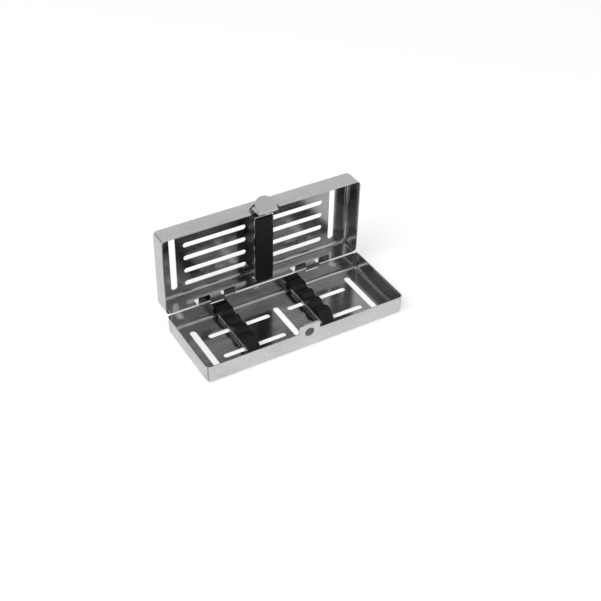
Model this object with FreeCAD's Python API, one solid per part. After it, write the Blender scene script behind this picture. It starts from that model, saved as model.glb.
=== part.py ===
import FreeCAD, Part
import os
from math import acos, atan2, cos, degrees, hypot, sin, tan

from FreeCAD import Vector

os.makedirs("parts", exist_ok=True)

# Perforated instrument tray: a pressed sheet-steel base with a hinged, perforated lid.
# Millimetres, +Z up, +X along the length, the hinges at the rear (+Y).
# Every lid piece is drawn with the lid shut and then turned up about the hinge line.
# The finished model stands on z = 0, with the origin under the middle of the open tray.

# Pressed pans
tray_length = 180.0
tray_depth = 72.0
base_height = 17.0
lid_height = 19.0
sheet = 0.8
bend_radius = 4.0
corner_radius = 4.5
rim_gap = 0.45
lid_open_angle = 90.0

# Perforations
slot_width = 4.5
slot_inner_end = 8.5
slot_outer_end = 64.5
end_slot_width = 5.4
lid_row_pitch = 12.5
lid_row_count = 5
lid_end_slot_x = 74.0
lid_end_slot_length = 56.0
base_row_y = 13.3
base_end_slot_x = 73.4
base_end_slot_length = 52.0
centre_slot_width = 5.4
centre_slot_length = 40.0

# Hinges
hinge_x = 45.0
pin_radius = 1.0
pin_clearance = 0.04
pin_end_chamfer = 0.3
lid_knuckle_length = 12.0
base_knuckle_length = 10.2
knuckle_gap = 0.3
notch_side_gap = 0.9
curl_slit_width = 0.25
curl_slit_angle = 38.0
base_hinge_notch_depth = 3.6
lid_hinge_notch_depth = 7.8
hinge_tab_rise = 7.0
hinge_tab_corner_radius = 1.5
notch_corner_radius = 1.0

# Latch tab on the base's front wall, and the finger cut-out over it in the lid
tab_width = 19.0
tab_rise = 7.0
tab_corner_radius = 1.8
tab_hole_radius = 4.15
tab_hole_below_rim = 0.7
cutout_radius = 12.8

# Soft rubber rests that cross the floor, each held in a C-shaped rail
rest_left_x = -41.0
rest_right_x = 28.0
rest_width = 11.0
rest_crest_height = 10.5
rest_crest_front_y = -12.8
rest_slope_foot_y = -21.0
rest_tail_thickness = 2.0
rest_edge_round = 0.8
rest_wall_gap = 0.3
groove_radius = 4.4
groove_floor_height = 7.8
groove_front_y = -3.0
groove_pitch = 12.5
groove_count = 3
rail_sheet = 0.6
rail_height = 3.6
rail_lip = 1.4
rail_clearance = 0.1
rail_front_y = -19.5
rail_rear_y = 30.5

# Hold-down strap under the lid, its rubber pad and its rivets
strap_width = 17.2
strap_sheet = 0.8
strap_bend_radius = 1.2
strap_riser_y = -30.0
strap_foot_rise = 11.0
pad_width = 14.4
pad_thickness = 2.4
pad_above_rim = 0.2
pad_front_gap = 0.9
pad_rear_gap = 2.4
pad_edge_round = 0.7
pad_button_count = 3
pad_button_neck_radius = 1.5
pad_button_head_radius = 2.6
pad_button_head_height = 1.4
pad_button_tip_radius = 1.2
pad_button_clearance = 0.05
rivet_spacing = 10.0
rivet_rise = 6.5
rivet_radius = 1.5
rivet_head_radius = 2.6
rivet_head_height = 1.0

# Sprung thumb catch with the stud that snaps into the tab's hole
tab_clearance = 0.15
tab_top_clearance = 1.1
catch_split_gap = 0.16
catch_foot_height = 10.2
catch_bend_radius = 0.8
lever_reach = 9.4
lever_top_height = 24.2
stud_radius = 3.6
stud_barrel_length = 1.1
stud_dome_height = 0.7
stud_shank_radius = 1.2
stud_tail_radius = 2.0
stud_tail_height = 0.5

# Places that follow from the sizes above
half_length = tray_length / 2
half_depth = tray_depth / 2
hinge_y = half_depth - sheet / 2
hinge_z = base_height
lid_top = hinge_z + lid_height
knuckle_radius = pin_radius + pin_clearance + sheet
knuckle_offset = lid_knuckle_length / 2 + knuckle_gap + base_knuckle_length / 2
tab_hole_z = base_height - tab_hole_below_rim
tab_top = base_height + tab_rise
pad_face_z = hinge_z + pad_above_rim
strap_z = pad_face_z + pad_thickness + strap_sheet / 2
bridge_z = tab_top + tab_top_clearance + strap_sheet / 2
catch_leg_y = -half_depth - tab_clearance - strap_sheet / 2
catch_pivot_z = bridge_z - strap_bend_radius - catch_split_gap
footprint_middle_y = (hinge_y + lid_height - half_depth) / 2

# How far a cutter runs past what it cuts, the flat that is left in the middle of a slot's
# half-round end, and how near two equal places lie
overcut = 1.0
flat_left = 0.002
same_place = 0.01


def unit(a, b):
    """Direction from point a to point b, both pairs of numbers."""
    run = hypot(b[0] - a[0], b[1] - a[1])
    return ((b[0] - a[0]) / run, (b[1] - a[1]) / run)


def on_yz(a, b):
    return Vector(0, a, b)


def on_xz(a, b):
    return Vector(a, 0, b)


def on_xy(a, b):
    return Vector(a, b, 0)


def box(x0, x1, y0, y1, z0, z1):
    return Part.makeBox(x1 - x0, y1 - y0, z1 - z0, Vector(x0, y0, z0))


def rod(radius, start, end):
    """Round bar between two points."""
    along = end.sub(start)
    return Part.makeCylinder(radius, along.Length, start, along)


def domed_button(radius, height, foot, outward):
    """Shallow spherical cap that stands on a point and faces outward."""
    ball_radius = (radius * radius + height * height) / (2 * height)
    along = Vector(outward).normalize()
    centre = foot.sub(along * (ball_radius - height))
    ball = Part.makeSphere(ball_radius, centre)
    return ball.common(Part.makeCylinder(radius + overcut, height + overcut, foot, along))


def rounded_outline(low_a, high_a, low_b, high_b, radii, place):
    """Rectangle with its own radius at each corner, anticlockwise from the low corner."""
    corners = [(low_a, low_b), (high_a, low_b), (high_a, high_b), (low_a, high_b)]
    edges = []
    ends = []
    for i, corner in enumerate(corners):
        before = unit(corner, corners[i - 1])
        after = unit(corner, corners[(i + 1) % 4])
        r = radii[i]
        start = (corner[0] + before[0] * r, corner[1] + before[1] * r)
        end = (corner[0] + after[0] * r, corner[1] + after[1] * r)
        if r > 0:
            centre = (start[0] + after[0] * r, start[1] + after[1] * r)
            out = unit(centre, corner)
            middle = (centre[0] + out[0] * r, centre[1] + out[1] * r)
            edges.append(Part.Arc(place(*start), place(*middle), place(*end)).toShape())
        ends.append((start, end))
    for i in range(4):
        edges.append(Part.makeLine(place(*ends[i][1]), place(*ends[(i + 1) % 4][0])))
    return Part.Face(Part.Wire(Part.__sortEdges__(edges)))


def bent_strip(points, thickness, bend, place):
    """Face of a thin strip that follows the points, with the same bend at each turn."""
    half = thickness / 2
    sides = {1: [], -1: []}
    reached = {}
    begun = {}
    last = len(points) - 1
    for i, p in enumerate(points):
        heading = unit(points[max(i - 1, 0)], points[max(i, 1)])
        if i in (0, last):
            for side in sides:
                corner = (p[0] - side * heading[1] * half, p[1] + side * heading[0] * half)
                if i == 0:
                    begun[side] = corner
                else:
                    sides[side].append(Part.makeLine(place(*reached[side]), place(*corner)))
                reached[side] = corner
            continue
        onward = unit(p, points[i + 1])
        way = 1 if heading[0] * onward[1] > heading[1] * onward[0] else -1
        turn = acos(heading[0] * onward[0] + heading[1] * onward[1])
        back = bend * tan(turn / 2)
        enter = (p[0] - heading[0] * back, p[1] - heading[1] * back)
        centre = (enter[0] - heading[1] * bend * way, enter[1] + heading[0] * bend * way)
        begin = atan2(enter[1] - centre[1], enter[0] - centre[0])
        for side, edges in sides.items():
            r = bend - way * side * half
            angles = [begin, begin + way * turn / 2, begin + way * turn]
            at = [(centre[0] + r * cos(angle), centre[1] + r * sin(angle)) for angle in angles]
            edges.append(Part.makeLine(place(*reached[side]), place(*at[0])))
            edges.append(Part.Arc(place(*at[0]), place(*at[1]), place(*at[2])).toShape())
            reached[side] = at[2]
    caps = [Part.makeLine(place(*ends[1]), place(*ends[-1])) for ends in (begun, reached)]
    return Part.Face(Part.Wire(Part.__sortEdges__(sides[1] + sides[-1] + caps)))


def wide(face, width):
    """Solid of a YZ face, spread evenly about x = 0."""
    solid = face.extrude(Vector(width, 0, 0))
    solid.translate(Vector(-width / 2, 0, 0))
    return solid


def obround(x0, x1, y0, y1, z0, z1):
    """Slot cutter with half-round ends on its shorter sides."""
    r = min(x1 - x0, y1 - y0) / 2
    outline = rounded_outline(x0, x1, y0, y1, [r - flat_left] * 4, on_xy)
    outline.translate(Vector(0, 0, z0))
    return outline.extrude(Vector(0, 0, z1 - z0))


def pan_form(length, depth, height, bend, corner):
    """Solid block with rounded upright corners and a rounded foot, standing on z = 0."""
    plan = rounded_outline(-length / 2, length / 2, -depth / 2, depth / 2, [corner] * 4, on_xy)
    block = plan.extrude(Vector(0, 0, height))
    foot = [edge for edge in block.Edges if edge.BoundBox.ZMax < same_place]
    return block.makeFillet(bend, foot)


def pressed_pan(height):
    """Open pan of pressed sheet, its floor on z = 0."""
    outside = pan_form(tray_length, tray_depth, height, bend_radius, corner_radius)
    inside = pan_form(tray_length - 2 * sheet, tray_depth - 2 * sheet, height,
                      bend_radius - sheet, corner_radius - sheet)
    inside.translate(Vector(0, 0, sheet))
    return outside.cut(inside)


def row_slots(y, z0, z1):
    """One long slot each side of the middle."""
    y0 = y - slot_width / 2
    y1 = y + slot_width / 2
    return [obround(slot_inner_end, slot_outer_end, y0, y1, z0, z1),
            obround(-slot_outer_end, -slot_inner_end, y0, y1, z0, z1)]


def end_slots(x, length, z0, z1):
    half = end_slot_width / 2
    return [obround(s * x - half, s * x + half, -length / 2, length / 2, z0, z1) for s in (-1, 1)]


def knuckle(x, length):
    """Rolled eye of the sheet's edge, centred on the hinge line."""
    start = Vector(x - length / 2, hinge_y, hinge_z)
    return rod(knuckle_radius, start, start + Vector(length, 0, 0))


def pin_bore():
    start = Vector(-half_length, hinge_y, hinge_z)
    return rod(pin_radius + pin_clearance, start, start + Vector(tray_length, 0, 0))


def curl_slit(x, length, wall_side):
    """Hair gap where the rolled edge comes back to its own wall; wall_side is -1 below, 1 above."""
    slit = box(x - length / 2, x + length / 2, -curl_slit_width / 2, curl_slit_width / 2,
               pin_radius, knuckle_radius + sheet)
    angle = curl_slit_angle if wall_side > 0 else 180 - curl_slit_angle
    slit.rotate(Vector(0, 0, 0), Vector(1, 0, 0), angle)
    slit.translate(Vector(0, hinge_y, hinge_z))
    return slit


def wall_notch(x0, x1, z0, z1):
    """Cutter for a notch in the rear wall with two rounded corners; z0 is the wall's open edge."""
    low = min(z0, z1)
    high = max(z0, z1)
    r = notch_corner_radius
    radii = [r, r, 0, 0] if z1 < z0 else [0, 0, r, r]
    outline = rounded_outline(x0, x1, low, high, radii, on_xz)
    outline.translate(Vector(0, half_depth - sheet - overcut, 0))
    return outline.extrude(Vector(0, sheet + 2 * overcut, 0))


def base_knuckle_places():
    return [side * hinge_x + part * knuckle_offset for side in (-1, 1) for part in (-1, 1)]


def wall_tab(x, width, wall_y, foot, top, corner):
    """Round-cornered tab that carries a wall up past the rim; wall_y is the wall's lower y."""
    outline = rounded_outline(x - width / 2, x + width / 2, foot, top, [0, 0, corner, corner], on_xz)
    outline.translate(Vector(0, wall_y, 0))
    return outline.extrude(Vector(0, sheet, 0))


def base_pan():
    """Tray with its latch tab in front and, at the rear, eyes that run on upward as tabs."""
    pan = pressed_pan(base_height)
    pan = pan.fuse(wall_tab(0, tab_width, -half_depth, base_height - bend_radius, tab_top, tab_corner_radius))
    half_notch = lid_knuckle_length / 2 + knuckle_gap
    for side in (-1, 1):
        middle = side * hinge_x
        pan = pan.cut(wall_notch(middle - half_notch, middle + half_notch,
                                 base_height + overcut, base_height - base_hinge_notch_depth))
    for x in base_knuckle_places():
        upstand = wall_tab(x, base_knuckle_length, half_depth - sheet, base_height,
                           base_height + hinge_tab_rise, hinge_tab_corner_radius)
        pan = pan.fuse(upstand).fuse(knuckle(x, base_knuckle_length))
    hole = rod(tab_hole_radius, Vector(0, -half_depth - overcut, tab_hole_z),
               Vector(0, -half_depth + sheet + overcut, tab_hole_z))
    cutters = [hole, pin_bore()]
    cutters += [curl_slit(x, base_knuckle_length, -1) for x in base_knuckle_places()]
    cutters += row_slots(base_row_y, -overcut, sheet + overcut)
    cutters += row_slots(-base_row_y, -overcut, sheet + overcut)
    cutters += end_slots(base_end_slot_x, base_end_slot_length, -overcut, sheet + overcut)
    cutters.append(obround(-centre_slot_width / 2, centre_slot_width / 2,
                           -centre_slot_length / 2, centre_slot_length / 2, -overcut, sheet + overcut))
    return pan.cut(cutters).removeSplitter()


def lid_pan():
    """Perforated cover with a half-round finger cut-out and a hinge tongue at each notch pair."""
    pan = pressed_pan(lid_height - rim_gap)
    pan.rotate(Vector(0, 0, 0), Vector(1, 0, 0), 180)
    pan.translate(Vector(0, 0, lid_top))
    inner = lid_knuckle_length / 2
    outer = inner + 2 * knuckle_gap + base_knuckle_length + notch_side_gap
    for side in (-1, 1):
        for part in (-1, 1):
            ends = sorted((side * hinge_x + part * inner, side * hinge_x + part * outer))
            pan = pan.cut(wall_notch(ends[0], ends[1], hinge_z, hinge_z + lid_hinge_notch_depth))
        tongue = box(side * hinge_x - inner, side * hinge_x + inner, half_depth - sheet, half_depth,
                     hinge_z, hinge_z + lid_hinge_notch_depth)
        pan = pan.fuse(tongue).fuse(knuckle(side * hinge_x, lid_knuckle_length))
    cutout = rod(cutout_radius, Vector(0, -half_depth - overcut, hinge_z),
                 Vector(0, -half_depth + sheet + overcut, hinge_z))
    cutters = [cutout, pin_bore()]
    cutters += [curl_slit(side * hinge_x, lid_knuckle_length, 1) for side in (-1, 1)]
    for i in range(lid_row_count):
        y = (i - (lid_row_count - 1) / 2) * lid_row_pitch
        cutters += row_slots(y, lid_top - sheet - overcut, lid_top + overcut)
    cutters += end_slots(lid_end_slot_x, lid_end_slot_length, lid_top - sheet - overcut, lid_top + overcut)
    for x in (-rivet_spacing / 2, rivet_spacing / 2):
        z = strap_z + rivet_rise
        cutters.append(rod(rivet_radius, Vector(x, half_depth - sheet - overcut, z),
                           Vector(x, half_depth + overcut, z)))
    return pan.cut(cutters).removeSplitter()


def hinge_pin(side):
    """Plain pin through two base knuckles and the lid knuckle between them."""
    half = knuckle_offset + base_knuckle_length / 2
    start = Vector(side * hinge_x - half, hinge_y, hinge_z)
    pin = rod(pin_radius, start, start + Vector(2 * half, 0, 0))
    rims = [edge for edge in pin.Edges if edge.Curve.TypeId == "Part::GeomCircle"]
    return pin.makeChamfer(pin_end_chamfer, rims)


def rest_rail(x):
    """C-shaped steel rail, welded flat on the floor, that grips the rest's foot."""
    half = rest_width / 2 + rail_sheet / 2
    low = rail_sheet / 2
    high = rail_height - rail_sheet / 2
    bend = rail_sheet
    path = [(-half + rail_lip, high), (-half, high), (-half, low),
            (half, low), (half, high), (half - rail_lip, high)]
    rail = bent_strip(path, rail_sheet, bend, on_xz).extrude(Vector(0, rail_rear_y - rail_front_y, 0))
    rail.translate(Vector(x, rail_front_y, sheet))
    return rail


def rest_blank():
    """Long block between the front and rear walls, sloping down to a thin tail at the front."""
    front = -half_depth + sheet + rest_wall_gap
    rear = -front
    top = rest_crest_height
    toe = bend_radius - sheet + rest_wall_gap
    tail = sheet + rest_tail_thickness
    side_view = rounded_outline(front, rear, sheet, top, [toe, toe, 0, 0], on_yz)
    above_slope = Part.Face(Part.makePolygon([
        on_yz(front - overcut, tail), on_yz(rest_slope_foot_y, tail), on_yz(rest_crest_front_y, top),
        on_yz(rest_crest_front_y, top + overcut), on_yz(front - overcut, top + overcut),
        on_yz(front - overcut, tail)]))
    return wide(side_view, rest_width).cut(wide(above_slope, 2 * rest_width))


def rest(x):
    """Soft rest that crosses the tray, with round grooves along its crest and a foot inside its rail."""
    body = rest_blank()
    centre_z = groove_floor_height + groove_radius
    for i in range(groove_count):
        y = groove_front_y + i * groove_pitch
        groove = rod(groove_radius, Vector(-rest_width, y, centre_z), Vector(rest_width, y, centre_z))
        body = body.cut(groove)
    crest = [edge for edge in body.Edges
             if edge.BoundBox.ZMin > rest_crest_height - same_place
             and edge.BoundBox.XLength > rest_width / 2]
    body = body.makeFillet(rest_edge_round, crest)
    gap = rail_clearance
    lip_low = sheet + rail_height - rail_sheet - gap
    lip_high = sheet + rail_height + gap
    neck = rest_width / 2 + rail_sheet / 2 - rail_lip - gap
    foot = rest_width / 2 - rail_sheet / 2
    y0 = rail_front_y - gap
    y1 = half_depth
    cutters = [box(-rest_width, rest_width, y0, y1, 0, sheet + rail_sheet)]
    for side in (-1, 1):
        outer = side * rest_width
        cutters.append(box(*sorted((side * neck, outer)), y0, y1, lip_low, lip_high))
        cutters.append(box(*sorted((side * foot, outer)), y0, y1, 0, lip_high))
    body = body.cut(cutters).removeSplitter()
    body.translate(Vector(x, 0, 0))
    return body


def hold_down_strap():
    """Spring strip: foot on the rear wall, run under the lid, riser and bridge over the latch tab."""
    foot_y = half_depth - sheet - strap_sheet / 2
    path = [(foot_y, strap_z + strap_foot_rise), (foot_y, strap_z), (strap_riser_y, strap_z),
            (strap_riser_y, bridge_z), (catch_leg_y, bridge_z),
            (catch_leg_y, catch_pivot_z + catch_split_gap / 2)]
    strip = wide(bent_strip(path, strap_sheet, strap_bend_radius, on_yz), strap_width)
    holes = []
    for y in pad_button_places():
        holes.append(rod(pad_button_neck_radius + pad_button_clearance,
                         Vector(0, y, strap_z - strap_sheet), Vector(0, y, strap_z + strap_sheet)))
    z = strap_z + rivet_rise
    for x in (-rivet_spacing / 2, rivet_spacing / 2):
        holes.append(rod(rivet_radius, Vector(x, foot_y - strap_sheet, z),
                         Vector(x, foot_y + strap_sheet, z)))
    return strip.cut(holes)


def pad_ends():
    front = strap_riser_y + strap_sheet / 2 + pad_front_gap
    rear = half_depth - sheet - pad_rear_gap
    return front, rear


def pad_button_places():
    front, rear = pad_ends()
    run = rear - front
    return [front + run * (i + 0.5) / pad_button_count for i in range(pad_button_count)]


def strap_pad():
    """Soft pad along the strap, with tapered buttons pulled through the strap's holes."""
    front, rear = pad_ends()
    top = pad_face_z + pad_thickness
    r = pad_edge_round
    section = rounded_outline(-pad_width / 2, pad_width / 2, pad_face_z, top, [r, r, 0, 0], on_xz)
    section.translate(Vector(0, front, 0))
    pad = section.extrude(Vector(0, rear - front, 0))
    under_head = top + strap_sheet
    for y in pad_button_places():
        neck = rod(pad_button_neck_radius, Vector(0, y, top - pad_edge_round), Vector(0, y, under_head))
        head = Part.makeCone(pad_button_head_radius, pad_button_tip_radius, pad_button_head_height,
                             Vector(0, y, under_head))
        pad = pad.fuse(neck).fuse(head)
    return pad.removeSplitter()


def strap_rivets():
    """Two rivets through the strap's foot and the lid's rear wall."""
    inner_y = half_depth - sheet - strap_sheet
    rivets = []
    for x in (-rivet_spacing / 2, rivet_spacing / 2):
        z = strap_z + rivet_rise
        inner = Vector(x, inner_y, z)
        outer = Vector(x, half_depth, z)
        body = rod(rivet_radius, inner, outer)
        body = body.fuse(domed_button(rivet_head_radius, rivet_head_height, outer, Vector(0, 1, 0)))
        body = body.fuse(domed_button(rivet_head_radius, rivet_head_height, inner, Vector(0, -1, 0)))
        rivets.append(body)
    return Part.makeCompound(rivets)


def thumb_catch():
    """Leg in front of the latch tab, folded back up into a round-ended thumb lever."""
    tip = (-half_depth - lever_reach, lever_top_height)
    foot = (catch_leg_y, catch_foot_height)
    path = [(catch_leg_y, catch_pivot_z - catch_split_gap / 2), foot, tip]
    leaf = wide(bent_strip(path, strap_sheet, catch_bend_radius, on_yz), strap_width)
    along = unit(foot, tip)
    normal = Vector(0, -along[1], along[0])
    r = strap_width / 2
    centre = Vector(0, tip[0] - along[0] * r, tip[1] - along[1] * r)
    under = centre.sub(normal * overcut)
    keep = Part.makeCylinder(r, 2 * overcut, under, normal)
    blank = Part.makeBox(strap_width + 2 * overcut, r + overcut, 2 * overcut)
    blank.rotate(Vector(0, 0, 0), Vector(1, 0, 0), degrees(atan2(along[1], along[0])))
    blank.translate(under.sub(Vector(r + overcut, 0, 0)))
    leaf = leaf.cut(blank.cut(keep))
    hole = rod(stud_shank_radius, Vector(0, catch_leg_y - strap_sheet, tab_hole_z),
               Vector(0, catch_leg_y + strap_sheet, tab_hole_z))
    return leaf.cut(hole)


def catch_stud():
    """Domed stud riveted to the leg, seated in the latch tab's hole."""
    face = catch_leg_y + strap_sheet / 2
    back = catch_leg_y - strap_sheet / 2
    barrel_end = Vector(0, face + stud_barrel_length, tab_hole_z)
    stud = rod(stud_radius, Vector(0, face, tab_hole_z), barrel_end)
    stud = stud.fuse(domed_button(stud_radius, stud_dome_height, barrel_end, Vector(0, 1, 0)))
    stud = stud.fuse(rod(stud_shank_radius, Vector(0, back, tab_hole_z), Vector(0, face, tab_hole_z)))
    tail = domed_button(stud_tail_radius, stud_tail_height, Vector(0, back, tab_hole_z), Vector(0, -1, 0))
    return stud.fuse(tail).removeSplitter()


def raised(shape):
    """The lid's pieces are turned up about the hinge line."""
    turned = shape.copy()
    turned.rotate(Vector(0, hinge_y, hinge_z), Vector(1, 0, 0), -lid_open_angle)
    return turned


def save(name, shape):
    placed = shape.copy()
    placed.translate(Vector(0, -footprint_middle_y, 0))
    placed.exportStep("parts/" + name + ".step")
    b = placed.BoundBox
    print(name, "solids", len(placed.Solids), "valid", placed.isValid(), "volume %.1f" % placed.Volume,
          "box %.2f %.2f %.2f to %.2f %.2f %.2f" % (b.XMin, b.YMin, b.ZMin, b.XMax, b.YMax, b.ZMax))


save("base_pan", base_pan())
save("rest_rail_left", rest_rail(rest_left_x))
save("rest_rail_right", rest_rail(rest_right_x))
save("rest_left", rest(rest_left_x))
save("rest_right", rest(rest_right_x))
save("hinge_pin_left", hinge_pin(-1))
save("hinge_pin_right", hinge_pin(1))
save("lid_pan", raised(lid_pan()))
save("hold_down_strap", raised(hold_down_strap()))
save("strap_rivets", raised(strap_rivets()))
save("strap_pad", raised(strap_pad()))
save("thumb_catch", raised(thumb_catch()))
save("catch_stud", raised(catch_stud()))
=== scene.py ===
from math import radians

import bmesh
import bpy
from bpy.props import FloatProperty, FloatVectorProperty, PointerProperty
from bpy.types import NodeSocket, Operator, Panel, PropertyGroup
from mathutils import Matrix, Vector


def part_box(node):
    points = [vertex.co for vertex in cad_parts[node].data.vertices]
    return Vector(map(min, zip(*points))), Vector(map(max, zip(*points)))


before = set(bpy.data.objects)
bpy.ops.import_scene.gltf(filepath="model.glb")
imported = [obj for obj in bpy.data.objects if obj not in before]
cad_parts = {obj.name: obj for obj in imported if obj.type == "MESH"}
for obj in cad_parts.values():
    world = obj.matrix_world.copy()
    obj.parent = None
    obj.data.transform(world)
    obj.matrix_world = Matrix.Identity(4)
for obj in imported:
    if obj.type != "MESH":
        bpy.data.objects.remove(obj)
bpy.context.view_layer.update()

bl_info = {
    "name": "Perforated Instrument Tray",
    "version": (1, 0, 0),
    "blender": (4, 5, 0),
    "location": "View3D > Sidebar > Tray",
    "description": "Dresses the hinged sheet-steel tray with its finishes, edges, rubbers and studio",
    "category": "Object",
}

MM = 0.001
BASE_LOW, BASE_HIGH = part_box("base_pan")
LID_LOW, LID_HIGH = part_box("lid_pan")


class SteelSettings(PropertyGroup):
    """Finishes of the sheet steel."""

    satin_colour: FloatVectorProperty(
        name="Satin Colour", description="Colour of the blasted outer skin", subtype="COLOR",
        size=3, min=0, max=1, default=(0.57, 0.57, 0.565))
    satin_roughness: FloatProperty(
        name="Satin Roughness", description="Roughness of the outer skin", subtype="FACTOR",
        min=0, max=1, default=0.42)
    polished_colour: FloatVectorProperty(
        name="Polished Colour", description="Colour of the polished inner faces", subtype="COLOR",
        size=3, min=0, max=1, default=(0.33, 0.33, 0.33))
    polished_roughness: FloatProperty(
        name="Polished Roughness", description="Roughness of the inner faces", subtype="FACTOR",
        min=0, max=1, default=0.16)
    strip_colour: FloatVectorProperty(
        name="Strip Colour", description="Colour of the spring strip and the rails", subtype="COLOR",
        size=3, min=0, max=1, default=(0.50, 0.50, 0.495))
    strip_roughness: FloatProperty(
        name="Strip Roughness", description="Roughness of the spring strip", subtype="FACTOR",
        min=0, max=1, default=0.30)
    turned_colour: FloatVectorProperty(
        name="Turned Colour", description="Colour of the pins, the rivets and the stud", subtype="COLOR",
        size=3, min=0, max=1, default=(0.60, 0.60, 0.595))
    turned_roughness: FloatProperty(
        name="Turned Roughness", description="Roughness of the pins, the rivets and the stud",
        subtype="FACTOR", min=0, max=1, default=0.25)
    sheet: FloatProperty(
        name="Sheet", description="Thickness of the pans' sheet", subtype="DISTANCE", unit="LENGTH",
        min=0.0001, default=0.8 * MM)
    bend_radius: FloatProperty(
        name="Bend Radius", description="Outer radius round the pans' floors",
        subtype="DISTANCE", unit="LENGTH", min=0.0001, default=4 * MM)
    corner_radius: FloatProperty(
        name="Corner Radius", description="Outer radius of the pans' upright corners",
        subtype="DISTANCE", unit="LENGTH", min=0.0001, default=4.5 * MM)
    weld_colour: FloatVectorProperty(
        name="Weld Colour", description="Colour of the ground welds in the pans' corners", subtype="COLOR",
        size=3, min=0, max=1, default=(0.2, 0.2, 0.2))
    # Painted shade: a near-black colour painted inside the pans' inner upright corners and on the tabs' inner
    # faces, where shade falls.
    painted_shade_colour: FloatVectorProperty(
        name="Painted Shade Colour", description="Colour inside the corners and on the tabs' inner faces",
        subtype="COLOR", size=3, min=0, max=1, default=(0.07, 0.07, 0.07))
    rim_height: FloatProperty(
        name="Rim Height", description="Height above which a pan has only its tabs", subtype="DISTANCE",
        unit="LENGTH", min=0.001, default=18.7 * MM)
    seam_width: FloatProperty(
        name="Seam Width", description="Width of the ground weld in each corner", subtype="DISTANCE",
        unit="LENGTH", min=0.0001, default=1.1 * MM)
    length: FloatProperty(
        name="Length", description="Outer length of the pans", subtype="DISTANCE", unit="LENGTH",
        min=0.01, default=BASE_HIGH.x - BASE_LOW.x)
    depth: FloatProperty(
        name="Depth", description="Outer depth of the pans", subtype="DISTANCE", unit="LENGTH",
        min=0.01, default=72 * MM)


class RubberSettings(PropertyGroup):
    """Finish of the moulded rubber."""

    colour: FloatVectorProperty(
        name="Colour", description="Colour of the rubber", subtype="COLOR",
        size=3, min=0, max=1, default=(0.005, 0.005, 0.0053))
    roughness: FloatProperty(
        name="Roughness", description="Roughness of the rubber", subtype="FACTOR",
        min=0, max=1, default=0.46)


class StageSettings(PropertyGroup):
    """Floor, lamps and camera."""

    floor_colour: FloatVectorProperty(
        name="Floor Colour", description="Colour of the floor", subtype="COLOR",
        size=3, min=0, max=1, default=(0.88, 0.88, 0.88))
    floor_size: FloatProperty(
        name="Floor Size", description="Width of the floor", subtype="DISTANCE", unit="LENGTH",
        min=1, default=40)
    floor_gap: FloatProperty(
        name="Floor Gap", description="How far the floor lies below the tray", subtype="DISTANCE",
        unit="LENGTH", min=0, default=0.02 * MM)
    floor_lift: FloatProperty(
        name="Floor Lift", description="White added to the floor where it is seen", min=0, max=1, default=0.4)
    far_lift: FloatProperty(
        name="Far Lift", description="White added far away, where the lamps no longer reach", min=0, max=1,
        default=0.4)
    far_start: FloatProperty(
        name="Far Start", description="Distance at which the far white begins", subtype="DISTANCE",
        unit="LENGTH", min=0, default=1.0)
    far_end: FloatProperty(
        name="Far End", description="Distance at which the far white is full", subtype="DISTANCE",
        unit="LENGTH", min=0, default=3.0)
    ambient: FloatProperty(
        name="Ambient", description="Light from all round", min=0, max=1, default=0.4)
    ceiling: FloatProperty(
        name="Ceiling", description="Brightness overhead, as the steel mirrors it", min=0, max=1, default=0.8)
    lamp_size: FloatProperty(
        name="Lamp Size", description="Width of the softboxes", subtype="DISTANCE", unit="LENGTH",
        min=0.1, default=1.8)
    lamp_aim: FloatVectorProperty(
        name="Lamp Aim", description="Point that the softboxes face", subtype="TRANSLATION",
        size=3, default=(0, 0, 0.03))
    key_place: FloatVectorProperty(
        name="Key Place", description="Where the key softbox hangs", subtype="TRANSLATION",
        size=3, default=(-1.8, -0.6, 2.2))
    key_power: FloatProperty(
        name="Key Power", description="Power of the key softbox", unit="POWER", min=0, default=36)
    fill_place: FloatVectorProperty(
        name="Fill Place", description="Where the fill softbox hangs", subtype="TRANSLATION",
        size=3, default=(2.0, -1.4, 1.6))
    fill_power: FloatProperty(
        name="Fill Power", description="Power of the fill softbox", unit="POWER", min=0, default=10)
    camera_place: FloatVectorProperty(
        name="Camera Place", description="Where the camera stands", subtype="TRANSLATION",
        size=3, default=(-0.33957, -0.58662, 0.56329))
    camera_turn: FloatVectorProperty(
        name="Camera Turn", description="How the camera is turned", subtype="EULER", unit="ROTATION",
        size=3, default=(radians(51.088), radians(-1.16), radians(-30.46)))
    lens: FloatProperty(
        name="Lens", description="Focal length on a 36 mm sensor", unit="CAMERA", min=1, default=64.0)


def make_node(tree, kind, inputs=None, **settings):
    """New shader node with its settings; an input is a number, a colour or another node's socket."""
    node = tree.nodes.new("ShaderNode" + kind)
    for name, value in settings.items():
        setattr(node, name, value)
    for socket, value in (inputs or {}).items():
        if isinstance(value, NodeSocket):
            tree.links.new(value, node.inputs[socket])
        else:
            node.inputs[socket].default_value = value
    return node


def calc(tree, operation, a, b=0.0):
    """Result of one sum on two values."""
    return make_node(tree, "Math", {0: a, 1: b}, operation=operation).outputs[0]


def new_material(name):
    """Empty node material with its output node."""
    material = bpy.data.materials.new(name)
    material.use_nodes = True
    tree = material.node_tree
    tree.nodes.clear()
    return material, tree, make_node(tree, "OutputMaterial")


def place_in_mm(tree, origin=(0, 0, 0), turn=(0, 0, 0)):
    """Object coordinates in millimetres, measured from an origin and turned."""
    where = make_node(tree, "TexCoord").outputs["Object"]
    shifted = make_node(tree, "VectorMath", {0: where, 1: origin}, operation="SUBTRACT").outputs[0]
    return make_node(tree, "Mapping", {"Vector": shifted, "Rotation": turn, "Scale": (1000, 1000, 1000)},
                     vector_type="POINT").outputs[0]


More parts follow.
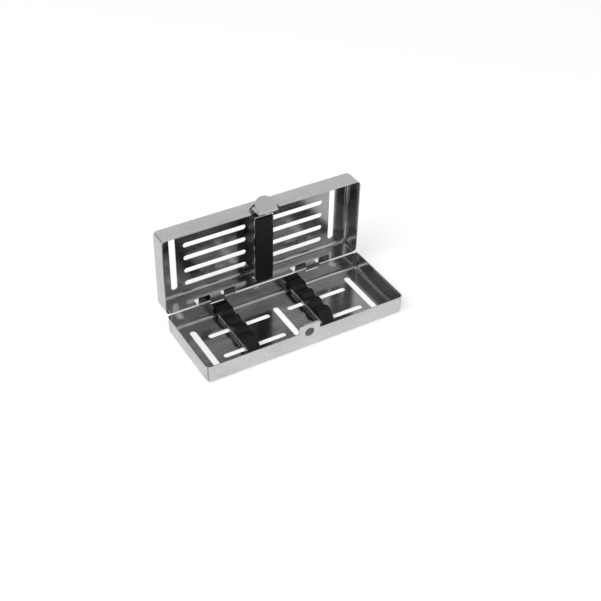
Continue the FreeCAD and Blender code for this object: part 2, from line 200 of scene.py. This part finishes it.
def grain(tree, place, scale, detail=3.0, roughness=0.6):
    """Noise from 0 to 1, with its own scale along each axis, in turns per millimetre."""
    stretched = make_node(tree, "Mapping", {"Vector": place, "Scale": scale}).outputs[0]
    return make_node(tree, "TexNoise", {"Vector": stretched, "Scale": 1.0, "Detail": detail,
                                        "Roughness": roughness}).outputs["Fac"]


def spread(tree, value, low, high):
    """A noise value spread between two limits."""
    return make_node(tree, "MapRange", {"Value": value, "From Min": 0.25, "From Max": 0.75,
                                        "To Min": low, "To Max": high}).outputs[0]


def mix_value(tree, share, a, b):
    """A value between two others, by share."""
    return make_node(tree, "Mix", {0: share, 2: a, 3: b}, data_type="FLOAT").outputs[0]


def mix_colour(tree, share, a, b, blend="MIX"):
    """A colour between two others, by share."""
    return make_node(tree, "Mix", {0: share, 6: a, 7: b}, data_type="RGBA", blend_type=blend).outputs[2]


def shade(tree, colour, value):
    """A colour made darker or lighter by a value near 1."""
    tint = make_node(tree, "CombineColor", {0: value, 1: value, 2: value}).outputs[0]
    return mix_colour(tree, 1.0, (*colour, 1), tint, "MULTIPLY")


def bump(tree, height, distance, normal=None):
    """Relief of a height from 0 to 1 times a distance in metres."""
    inputs = {"Height": height, "Distance": distance, "Strength": 1.0}
    if normal:
        inputs["Normal"] = normal
    return make_node(tree, "Bump", inputs).outputs[0]


def pan_places(tree, place, plan, corner):
    """How far a point lies past the start of a corner's curve, along X and Y, and its height."""
    apart = make_node(tree, "SeparateXYZ", {0: place}).outputs
    starts = [size / 2 - corner for size in plan]
    past = [calc(tree, "MAXIMUM", calc(tree, "SUBTRACT", calc(tree, "ABSOLUTE", apart[i]), starts[i]))
            for i in (0, 1)]
    return past[0], past[1], apart[2]


def outer_share(tree, past_x, past_y, height, corner, bend, sheet):
    """1 on the outer skin of a pan and 0 on its inner faces, all in millimetres."""
    flat = make_node(tree, "CombineXYZ", {0: past_x, 1: past_y, 2: 0.0}).outputs[0]
    outward = make_node(tree, "VectorMath", {0: flat}, operation="LENGTH").outputs["Value"]
    into_bend = calc(tree, "MAXIMUM", calc(tree, "SUBTRACT", outward, corner - bend))
    downward = calc(tree, "MAXIMUM", calc(tree, "SUBTRACT", bend, height))
    profile = make_node(tree, "CombineXYZ", {0: into_bend, 1: downward, 2: 0.0}).outputs[0]
    reach = make_node(tree, "VectorMath", {0: profile}, operation="LENGTH").outputs["Value"]
    return calc(tree, "GREATER_THAN", reach, bend - sheet / 2)


def seam_share(tree, past_x, past_y, height, corner, bend, width):
    """1 along the middle of each upright corner, as wide as the width given, fading out towards the floor;
    used for the ground welds and for the wider painted shade inside the corners.
    """
    aside = calc(tree, "ABSOLUTE", calc(tree, "SUBTRACT", past_x, past_y))
    line = make_node(tree, "MapRange", {"Value": aside, "From Min": width / 2, "From Max": width,
                                        "To Min": 1.0, "To Max": 0.0}).outputs[0]
    turned = calc(tree, "GREATER_THAN", calc(tree, "MINIMUM", past_x, past_y), corner / 4)
    above = make_node(tree, "MapRange", {"Value": height, "From Min": bend / 4, "From Max": bend,
                                         "To Min": 0.0, "To Max": 1.0}).outputs[0]
    return calc(tree, "MULTIPLY", calc(tree, "MULTIPLY", line, turned), above)


def pan_steel(name, origin, turn, steel):
    """Pan sheet: satin outside, brushed and polished inside, slightly wavy, with ground corner welds, and
    painted shade inside the upright corners and on the tabs' inner faces.
    """
    material, tree, output = new_material(name)
    place = place_in_mm(tree, origin, turn)
    corner = steel.corner_radius / MM
    bend = steel.bend_radius / MM
    past_x, past_y, height = pan_places(tree, place, (steel.length / MM, steel.depth / MM), corner)
    outside = outer_share(tree, past_x, past_y, height, corner, bend, steel.sheet / MM)
    seam = seam_share(tree, past_x, past_y, height, corner, bend, steel.seam_width / MM)
    brushed = grain(tree, place, (0.05, 1.1, 1.1), 5, 0.7)
    blasted = grain(tree, place, (5.0, 5.0, 5.0), 2)
    mottled = grain(tree, place, (0.6, 0.6, 0.6), 4, 0.7)
    cloudy = grain(tree, place, (0.05, 0.09, 0.09), 2)
    waves = grain(tree, place, (0.045, 0.07, 0.07), 1)
    patchy = calc(tree, "MULTIPLY", spread(tree, mottled, 0.86, 1.10), spread(tree, cloudy, 0.90, 1.06))
    satin_tone = calc(tree, "MULTIPLY", spread(tree, blasted, 0.96, 1.04), patchy)
    polished_tone = calc(tree, "MULTIPLY", spread(tree, brushed, 0.8, 1.2), spread(tree, cloudy, 0.85, 1.15))
    satin = shade(tree, steel.satin_colour, satin_tone)
    polished = shade(tree, steel.polished_colour, polished_tone)
    skin = mix_colour(tree, outside, polished, satin)
    inside = calc(tree, "SUBTRACT", 1.0, outside)
    # Painted shade: along each inner upright corner a band three welds wide is painted near-black at 0.75
    # share and made rougher.
    painted_corner_shade = calc(tree, "MULTIPLY", inside, seam_share(tree, past_x, past_y, height, corner, bend / 2,
                                                       3 * steel.seam_width / MM))
    # Painted shade: the inner faces of the tabs above the rim height are painted near-black, as the shade in
    # the hinge notches.
    tabs = calc(tree, "MULTIPLY", inside, calc(tree, "GREATER_THAN", height, steel.rim_height / MM))
    welded = mix_colour(tree, calc(tree, "MULTIPLY", seam, 0.75), skin, (*steel.weld_colour, 1))
    # Share of painted shade: the tabs in full, the inner corners at 0.75.
    painted_shade_share = calc(tree, "MAXIMUM", tabs, calc(tree, "MULTIPLY", painted_corner_shade, 0.75))
    colour = mix_colour(tree, painted_shade_share, welded, (*steel.painted_shade_colour, 1))
    satin_rough = calc(tree, "ADD", spread(tree, cloudy, -0.05, 0.05), steel.satin_roughness)
    polished_rough = calc(tree, "ADD", spread(tree, brushed, -0.04, 0.05), steel.polished_roughness)
    skin_rough = mix_value(tree, outside, polished_rough, satin_rough)
    rough = mix_value(tree, painted_corner_shade, skin_rough, 0.5)
    fine = bump(tree, mix_value(tree, outside, brushed, blasted), 0.004 * MM)
    relief = bump(tree, waves, 0.12 * MM, fine)
    surface = make_node(tree, "BsdfPrincipled", {"Base Color": colour, "Metallic": 1.0,
                                                 "Roughness": rough, "Normal": relief})
    tree.links.new(surface.outputs[0], output.inputs["Surface"])
    return material


def drawn_steel(name, colour, roughness, stretch, relief=0.003):
    """Steel with drawing lines; stretch is the lines' scale along each axis, per millimetre."""
    material, tree, output = new_material(name)
    place = place_in_mm(tree)
    lines = grain(tree, place, stretch, 4)
    cloudy = grain(tree, place, (0.2, 0.2, 0.2), 2)
    tone = shade(tree, colour, spread(tree, lines, 0.9, 1.08))
    rough = calc(tree, "ADD", spread(tree, cloudy, -0.05, 0.05), roughness)
    surface = make_node(tree, "BsdfPrincipled", {"Base Color": tone, "Metallic": 1.0, "Roughness": rough,
                                                 "Normal": bump(tree, lines, relief * MM)})
    tree.links.new(surface.outputs[0], output.inputs["Surface"])
    return material


def moulded_rubber(name, rubber):
    """Black silicone rubber with a fine matt skin and a little dust."""
    material, tree, output = new_material(name)
    place = place_in_mm(tree)
    skin = grain(tree, place, (4.0, 4.0, 4.0), 3)
    dust = grain(tree, place, (0.25, 0.25, 0.25), 3)
    tone = shade(tree, rubber.colour, spread(tree, dust, 0.75, 1.5))
    rough = calc(tree, "ADD", spread(tree, dust, -0.06, 0.08), rubber.roughness)
    surface = make_node(tree, "BsdfPrincipled", {"Base Color": tone, "Metallic": 0.0, "Roughness": rough,
                                                 "Specular IOR Level": 0.22,
                                                 "Normal": bump(tree, skin, 0.012 * MM)})
    tree.links.new(surface.outputs[0], output.inputs["Surface"])
    return material


def dress(node, material):
    """Gives a CAD node its finish."""
    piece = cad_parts[node]
    piece.material_slots[0].link = "OBJECT"
    piece.material_slots[0].material = material


class TRAY_OT_pans(Operator):
    """Finish both pressed pans: satin outside, polished inside, with painted shade in the inner corners and
    on the tabs' inner faces
    """

    bl_idname = "tray.pans"
    bl_label = "Pans"

    def execute(self, context):
        steel = context.scene.tray_steel
        base_middle = (0, BASE_LOW.y + steel.depth / 2, 0)
        dress("base_pan", pan_steel("satin_and_polished_base", base_middle, (0, 0, 0), steel))
        lid_middle = (0, LID_HIGH.y, LID_HIGH.z - steel.depth / 2)
        dress("lid_pan", pan_steel("satin_and_polished_lid", lid_middle, (radians(-90), 0, 0), steel))
        return {"FINISHED"}


class TRAY_OT_rails(Operator):
    """Finish the rails that hold the rests"""

    bl_idname = "tray.rails"
    bl_label = "Rest Rails"

    def execute(self, context):
        steel = context.scene.tray_steel
        finish = drawn_steel("drawn_rail_steel", steel.strip_colour, steel.strip_roughness, (3.0, 0.1, 3.0))
        for side in ("left", "right"):
            dress("rest_rail_" + side, finish)
        return {"FINISHED"}


class TRAY_OT_strap(Operator):
    """Finish the hold-down strap, polished as the inside is, and its brushed thumb catch"""

    bl_idname = "tray.strap"
    bl_label = "Strap and Catch"

    def execute(self, context):
        steel = context.scene.tray_steel
        along_strap = (3.0, 0.4, 0.1)
        dress("hold_down_strap", drawn_steel("polished_strap_steel", steel.polished_colour,
                                             steel.polished_roughness, along_strap))
        dress("thumb_catch", drawn_steel("brushed_catch_steel", steel.strip_colour,
                                         steel.strip_roughness, along_strap))
        return {"FINISHED"}


class TRAY_OT_fasteners(Operator):
    """Finish the hinge pins, the rivets and the stud"""

    bl_idname = "tray.fasteners"
    bl_label = "Pins, Rivets and Stud"

    def execute(self, context):
        steel = context.scene.tray_steel
        finish = drawn_steel("turned_steel", steel.turned_colour, steel.turned_roughness,
                             (2.0, 2.0, 2.0), 0.001)
        for node in ("hinge_pin_left", "hinge_pin_right", "strap_rivets", "catch_stud"):
            dress(node, finish)
        return {"FINISHED"}


class TRAY_OT_rubbers(Operator):
    """Finish the rests and the strap's pad"""

    bl_idname = "tray.rubbers"
    bl_label = "Rests and Pad"

    def execute(self, context):
        finish = moulded_rubber("black_silicone_rubber", context.scene.tray_rubber)
        for node in ("rest_left", "rest_right", "strap_pad"):
            dress(node, finish)
        return {"FINISHED"}


def shown_ray(tree):
    """1 on rays that show the background: camera, glossy and transmission."""
    path = make_node(tree, "LightPath").outputs
    return calc(tree, "MAXIMUM", path["Is Camera Ray"],
                calc(tree, "MAXIMUM", path["Is Glossy Ray"], path["Is Transmission Ray"]))


def floor_material(stage):
    """Matt pale floor, lifted to white where it is seen, with its shadow kept and no far edge."""
    material, tree, output = new_material("studio_floor")
    matt = make_node(tree, "BsdfDiffuse", {"Color": (*stage.floor_colour, 1)})
    where = make_node(tree, "TexCoord").outputs["Object"]
    away = make_node(tree, "VectorMath", {0: where}, operation="LENGTH").outputs["Value"]
    far = make_node(tree, "MapRange", {"Value": away, "From Min": stage.far_start, "From Max": stage.far_end,
                                       "To Min": 0.0, "To Max": stage.far_lift}).outputs[0]
    seen_far = calc(tree, "MULTIPLY", make_node(tree, "LightPath").outputs["Is Camera Ray"], far)
    seen = calc(tree, "MULTIPLY", shown_ray(tree), stage.floor_lift)
    glow = make_node(tree, "Emission", {"Strength": calc(tree, "ADD", seen_far, seen)})
    both = make_node(tree, "AddShader", {0: matt.outputs[0], 1: glow.outputs[0]})
    tree.links.new(both.outputs[0], output.inputs["Surface"])
    return material


def studio_world(ambient, ceiling):
    """White where it is seen, darker overhead in reflections, and a softer level where it lights."""
    world = bpy.data.worlds.new("studio")
    world.use_nodes = True
    tree = world.node_tree
    tree.nodes.clear()
    path = make_node(tree, "LightPath").outputs
    upward = make_node(tree, "SeparateXYZ", {0: make_node(tree, "TexCoord").outputs["Generated"]}).outputs[2]
    mirrored = make_node(tree, "MapRange", {"Value": upward, "From Min": 0.15, "From Max": 0.55,
                                            "To Min": 1.0, "To Max": ceiling}).outputs[0]
    lit = mix_value(tree, path["Is Glossy Ray"], ambient, mirrored)
    level = mix_value(tree, path["Is Camera Ray"], lit, 1.0)
    sky = make_node(tree, "Background", {"Color": (1, 1, 1, 1), "Strength": level})
    output = make_node(tree, "OutputWorld")
    tree.links.new(sky.outputs[0], output.inputs["Surface"])
    return world


def softbox(name, place, aim, width, power):
    """Square area lamp that faces a point."""
    lamp = bpy.data.lights.new(name, "AREA")
    lamp.shape = "SQUARE"
    lamp.size = width
    lamp.energy = power
    holder = bpy.data.objects.new(name, lamp)
    holder.location = place
    holder.rotation_euler = (Vector(aim) - Vector(place)).to_track_quat("-Z", "Y").to_euler()
    bpy.context.scene.collection.objects.link(holder)


class TRAY_OT_stage(Operator):
    """Set up the floor, the lamps, the white background and the camera"""

    bl_idname = "tray.stage"
    bl_label = "Stage"

    def execute(self, context):
        stage = context.scene.tray_stage
        form = bmesh.new()
        bmesh.ops.create_grid(form, x_segments=1, y_segments=1, size=stage.floor_size / 2)
        mesh = bpy.data.meshes.new("studio_floor")
        form.to_mesh(mesh)
        form.free()
        floor = bpy.data.objects.new("studio_floor", mesh)
        floor.location.z = -stage.floor_gap
        mesh.materials.append(floor_material(stage))
        context.scene.collection.objects.link(floor)
        context.scene.world = studio_world(stage.ambient, stage.ceiling)
        softbox("key_softbox", stage.key_place, stage.lamp_aim, stage.lamp_size, stage.key_power)
        softbox("fill_softbox", stage.fill_place, stage.lamp_aim, stage.lamp_size, stage.fill_power)
        camera = bpy.data.cameras.new("photo_camera")
        camera.sensor_width = 36
        camera.lens = stage.lens
        holder = bpy.data.objects.new("photo_camera", camera)
        holder.location = stage.camera_place
        holder.rotation_euler = stage.camera_turn
        context.scene.collection.objects.link(holder)
        context.scene.camera = holder
        context.scene.view_settings.view_transform = "Standard"
        return {"FINISHED"}


STEPS = (TRAY_OT_pans, TRAY_OT_rails, TRAY_OT_strap, TRAY_OT_fasteners, TRAY_OT_rubbers, TRAY_OT_stage)


class TRAY_PT_panel(Panel):
    """Lists the tray's steps"""

    bl_idname = "TRAY_PT_panel"
    bl_label = "Instrument Tray"
    bl_space_type = "VIEW_3D"
    bl_region_type = "UI"
    bl_category = "Tray"

    def draw(self, context):
        for step in STEPS:
            self.layout.operator(step.bl_idname)
        for group in (context.scene.tray_steel, context.scene.tray_rubber, context.scene.tray_stage):
            box = self.layout.box()
            for name in group.__annotations__:
                box.prop(group, name)


SETTINGS = {"tray_steel": SteelSettings, "tray_rubber": RubberSettings, "tray_stage": StageSettings}


def register():
    for group in SETTINGS.values():
        bpy.utils.register_class(group)
    for name, group in SETTINGS.items():
        setattr(bpy.types.Scene, name, PointerProperty(type=group))
    for step in STEPS:
        bpy.utils.register_class(step)
    bpy.utils.register_class(TRAY_PT_panel)


def unregister():
    bpy.utils.unregister_class(TRAY_PT_panel)
    for step in reversed(STEPS):
        bpy.utils.unregister_class(step)
    for name, group in SETTINGS.items():
        delattr(bpy.types.Scene, name)
        bpy.utils.unregister_class(group)


def main():
    register()
    bpy.ops.tray.pans()
    bpy.ops.tray.rails()
    bpy.ops.tray.strap()
    bpy.ops.tray.fasteners()
    bpy.ops.tray.rubbers()
    bpy.ops.tray.stage()


if __name__ == "__main__":
    main()
